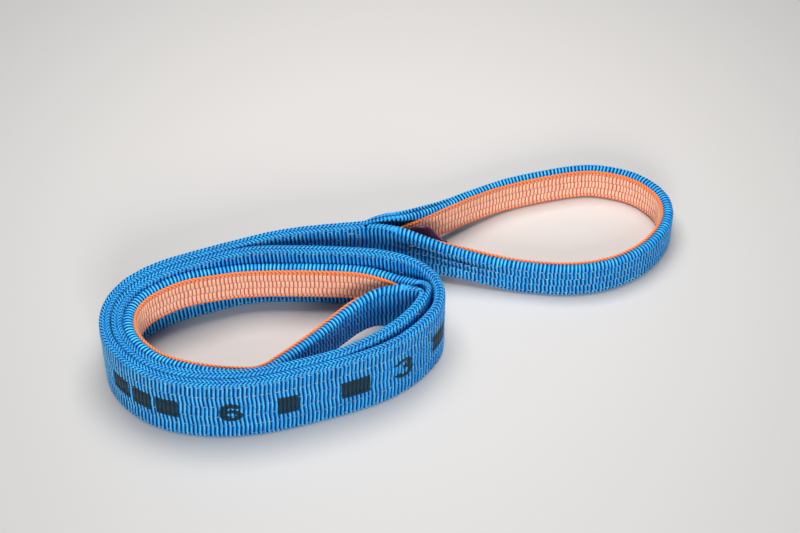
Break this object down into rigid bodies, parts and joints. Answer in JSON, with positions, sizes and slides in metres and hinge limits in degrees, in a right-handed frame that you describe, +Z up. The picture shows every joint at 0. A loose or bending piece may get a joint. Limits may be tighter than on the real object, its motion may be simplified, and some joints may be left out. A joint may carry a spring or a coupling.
{
  "type": "flat web sling",
  "caption": "Coiled duplex lifting sling of wide ribbed webbing with a folded, lined eye at each end and an identity tag.",
  "frame": {"origin": "on the floor under the middle of the laid-out sling's box", "axes": "+X from the coil towards the free eye, +Z up along the width of the webbing"},
  "size_m": [0.7871, 0.4814, 0.1],
  "materials": {
    "load_webbing": "woven, ribbed across its width",
    "wear_lining": "woven, ribbed",
    "seam_thread": "twisted thread",
    "tag_label": "smooth"
  },
  "bodies": {
    "coiled_body": {"body_inner_ply": "load_webbing", "body_outer_ply": "load_webbing", "body_seam_1_bobbin_thread": "seam_thread", "body_seam_1_needle_thread": "seam_thread", "body_seam_2_bobbin_thread": "seam_thread", "body_seam_2_needle_thread": "seam_thread", "body_seam_3_bobbin_thread": "seam_thread", "body_seam_3_needle_thread": "seam_thread", "body_seam_4_bobbin_thread": "seam_thread", "body_seam_4_needle_thread": "seam_thread", "body_seam_5_bobbin_thread": "seam_thread", "body_seam_5_needle_thread": "seam_thread", "body_seam_6_bobbin_thread": "seam_thread", "body_seam_6_needle_thread": "seam_thread", "inner_cross_seam_bobbin_thread": "seam_thread", "inner_cross_seam_needle_thread": "seam_thread", "inner_eye_lining": "wear_lining", "inner_eye_seam_1_lining_thread": "seam_thread", "inner_eye_seam_1_needle_thread": "seam_thread", "inner_eye_seam_2_lining_thread": "seam_thread", "inner_eye_seam_2_needle_thread": "seam_thread", "inner_eye_seam_3_lining_thread": "seam_thread", "inner_eye_seam_3_needle_thread": "seam_thread", "inner_eye_seam_4_lining_thread": "seam_thread", "inner_eye_seam_4_needle_thread": "seam_thread", "inner_eye_webbing": "load_webbing", "outer_cross_seam_bobbin_thread": "seam_thread", "outer_cross_seam_needle_thread": "seam_thread"},
    "outer_eye": {"outer_eye_lining": "wear_lining", "outer_eye_seam_1_lining_thread": "seam_thread", "outer_eye_seam_1_needle_thread": "seam_thread", "outer_eye_seam_2_lining_thread": "seam_thread", "outer_eye_seam_2_needle_thread": "seam_thread", "outer_eye_seam_3_lining_thread": "seam_thread", "outer_eye_seam_3_needle_thread": "seam_thread", "outer_eye_seam_4_lining_thread": "seam_thread", "outer_eye_seam_4_needle_thread": "seam_thread", "outer_eye_webbing": "load_webbing"},
    "tag": {"identity_tag": "tag_label", "tag_stitching": "seam_thread"}
  },
  "joints": [
    {"name": "outer_eye_swing", "type": "hinge", "parent": "coiled_body", "child": "outer_eye", "pos_m": [-0.04564, 0.06129, 0], "axis": [0, 0, 1], "range_deg": [-25, 30]},
    {"name": "tag_flap", "type": "hinge", "parent": "outer_eye", "child": "tag", "pos_m": [-0.02364, 0.06449, 0], "axis": [0, 0, 1], "range_deg": [0, 7]}
  ]
}
